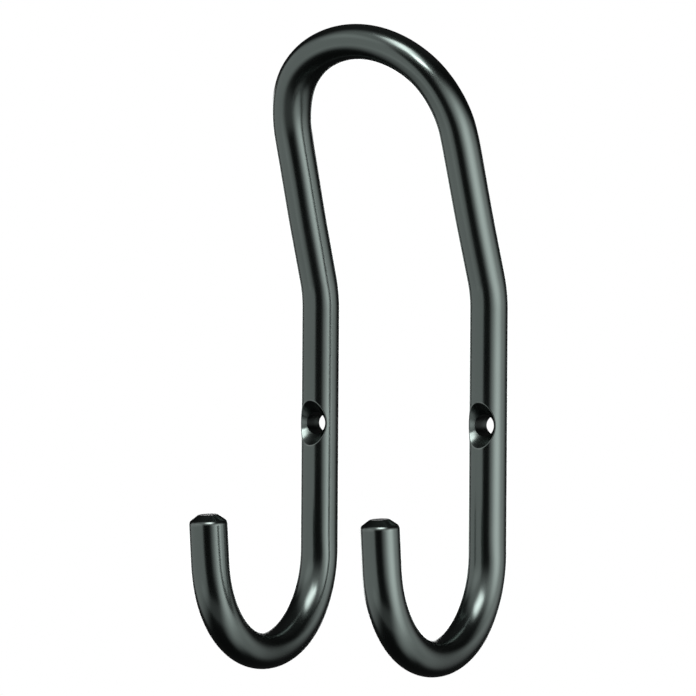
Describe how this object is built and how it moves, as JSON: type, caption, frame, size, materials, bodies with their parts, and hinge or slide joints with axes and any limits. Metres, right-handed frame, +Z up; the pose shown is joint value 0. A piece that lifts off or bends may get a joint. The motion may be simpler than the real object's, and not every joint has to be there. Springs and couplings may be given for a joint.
{
  "type": "double hook",
  "caption": "Wall hook bent from round bar: its legs end in forward J hooks below and join in a forward-leaning arch above, with countersunk screw holes through the legs.",
  "frame": {"origin": "midway between the two screw holes, on the level of the bar's centreline; the wall is the plane y = +4 mm", "axes": "+Z up, -Y forwards and away from the wall, along the screw holes and towards the J hooks; X from one leg to the other"},
  "size_m": [0.049, 0.0497, 0.1331],
  "materials": {
    "black_nickel": "polished black nickel plating on a bent steel bar"
  },
  "bodies": {
    "root": {"double_hook": "black_nickel"}
  },
  "joints": []
}
